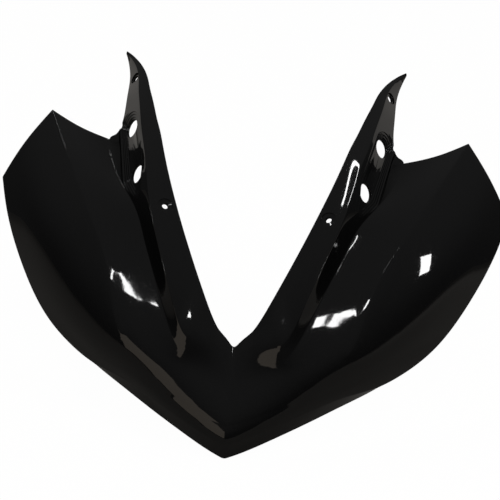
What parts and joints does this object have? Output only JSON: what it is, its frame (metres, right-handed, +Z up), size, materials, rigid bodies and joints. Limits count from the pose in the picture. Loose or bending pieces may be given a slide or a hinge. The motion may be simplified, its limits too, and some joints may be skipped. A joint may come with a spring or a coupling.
{
  "type": "motorcycle front cowl",
  "caption": "Thin-walled V-shaped front cowl with swept side wings, two arms carrying stepped mirror pockets, and a turned-back lower lip.",
  "frame": {"origin": "centre of the bounding box in X and Y, at its lowest level", "axes": "+X across the machine, -Y towards the front, +Z up as fitted on the machine"},
  "size_m": [0.506, 0.3, 0.2728],
  "materials": {
    "gloss_shell": "high gloss black"
  },
  "bodies": {
    "root": {"fairing": "gloss_shell"}
  },
  "joints": []
}
